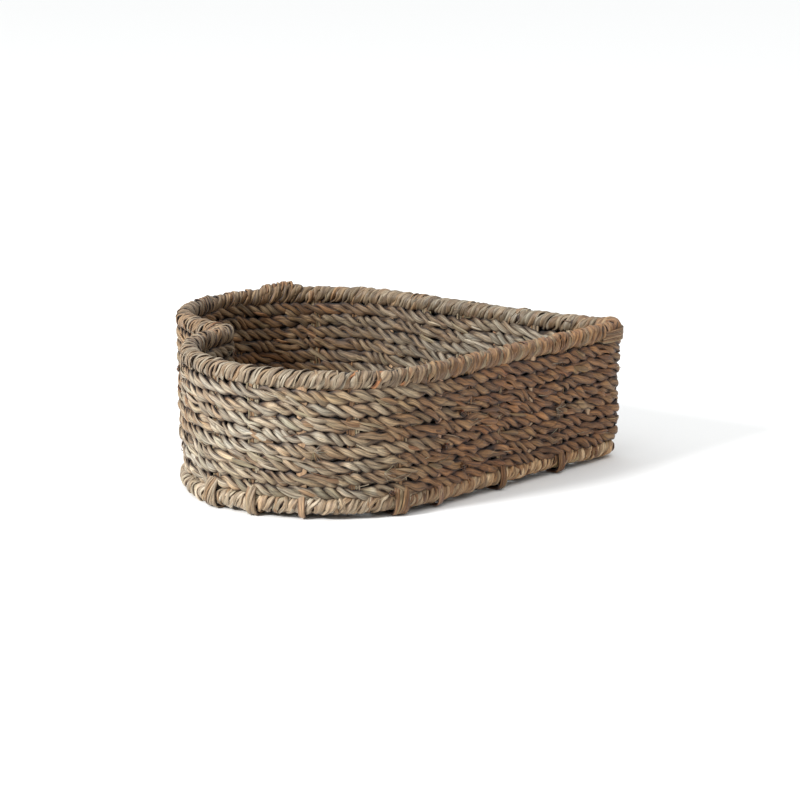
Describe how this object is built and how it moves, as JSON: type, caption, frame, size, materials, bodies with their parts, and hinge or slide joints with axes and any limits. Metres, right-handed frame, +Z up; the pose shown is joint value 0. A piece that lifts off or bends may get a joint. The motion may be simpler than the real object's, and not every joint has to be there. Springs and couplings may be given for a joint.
{
  "type": "storage basket",
  "caption": "Heart-shaped open storage basket woven in twisted seagrass rope round upright stakes, with wrapped borders at the top edge and the foot.",
  "frame": {"origin": "under the middle of the basket's bounding box, on the surface that it stands on", "axes": "+Z up, +X from the notch between the lobes to the tip, +Y to the left lobe as seen from the notch looking to the tip"},
  "size_m": [0.3224, 0.3374, 0.102],
  "materials": {
    "border_wrap": "flat seagrass strands wound tightly round the edge, dry and matt",
    "wall_rope": "twisted seagrass rope, dry and fibrous, beige to grey-green with rust-brown strands",
    "base_rope": "twisted seagrass rope, dry and fibrous",
    "stake_cane": "smooth pale cane slat, satin",
    "rim_wire": "dark drawn iron wire"
  },
  "bodies": {
    "root": {"base_rope_left": "base_rope", "base_rope_right": "base_rope", "base_stake_1": "stake_cane", "base_stake_2": "stake_cane", "base_stake_3": "stake_cane", "base_stake_4": "stake_cane", "base_stake_5": "stake_cane", "base_stake_6": "stake_cane", "base_stake_7": "stake_cane", "bottom_border": "border_wrap", "bottom_rim_wire": "rim_wire", "inner_rope_1": "wall_rope", "inner_rope_2": "wall_rope", "inner_rope_3": "wall_rope", "inner_rope_4": "wall_rope", "inner_rope_5": "wall_rope", "inner_rope_6": "wall_rope", "inner_rope_7": "wall_rope", "inner_rope_8": "wall_rope", "outer_rope_1": "wall_rope", "outer_rope_2": "wall_rope", "outer_rope_3": "wall_rope", "outer_rope_4": "wall_rope", "outer_rope_5": "wall_rope", "outer_rope_6": "wall_rope", "outer_rope_7": "wall_rope", "outer_rope_8": "wall_rope", "stake_left_1": "stake_cane", "stake_left_10": "stake_cane", "stake_left_11": "stake_cane", "stake_left_12": "stake_cane", "stake_left_13": "stake_cane", "stake_left_14": "stake_cane", "stake_left_2": "stake_cane", "stake_left_3": "stake_cane", "stake_left_4": "stake_cane", "stake_left_5": "stake_cane", "stake_left_6": "stake_cane", "stake_left_7": "stake_cane", "stake_left_8": "stake_cane", "stake_left_9": "stake_cane", "stake_right_1": "stake_cane", "stake_right_10": "stake_cane", "stake_right_11": "stake_cane", "stake_right_12": "stake_cane", "stake_right_13": "stake_cane", "stake_right_14": "stake_cane", "stake_right_2": "stake_cane", "stake_right_3": "stake_cane", "stake_right_4": "stake_cane", "stake_right_5": "stake_cane", "stake_right_6": "stake_cane", "stake_right_7": "stake_cane", "stake_right_8": "stake_cane", "stake_right_9": "stake_cane", "top_border": "border_wrap", "top_rim_wire": "rim_wire"}
  },
  "joints": []
}
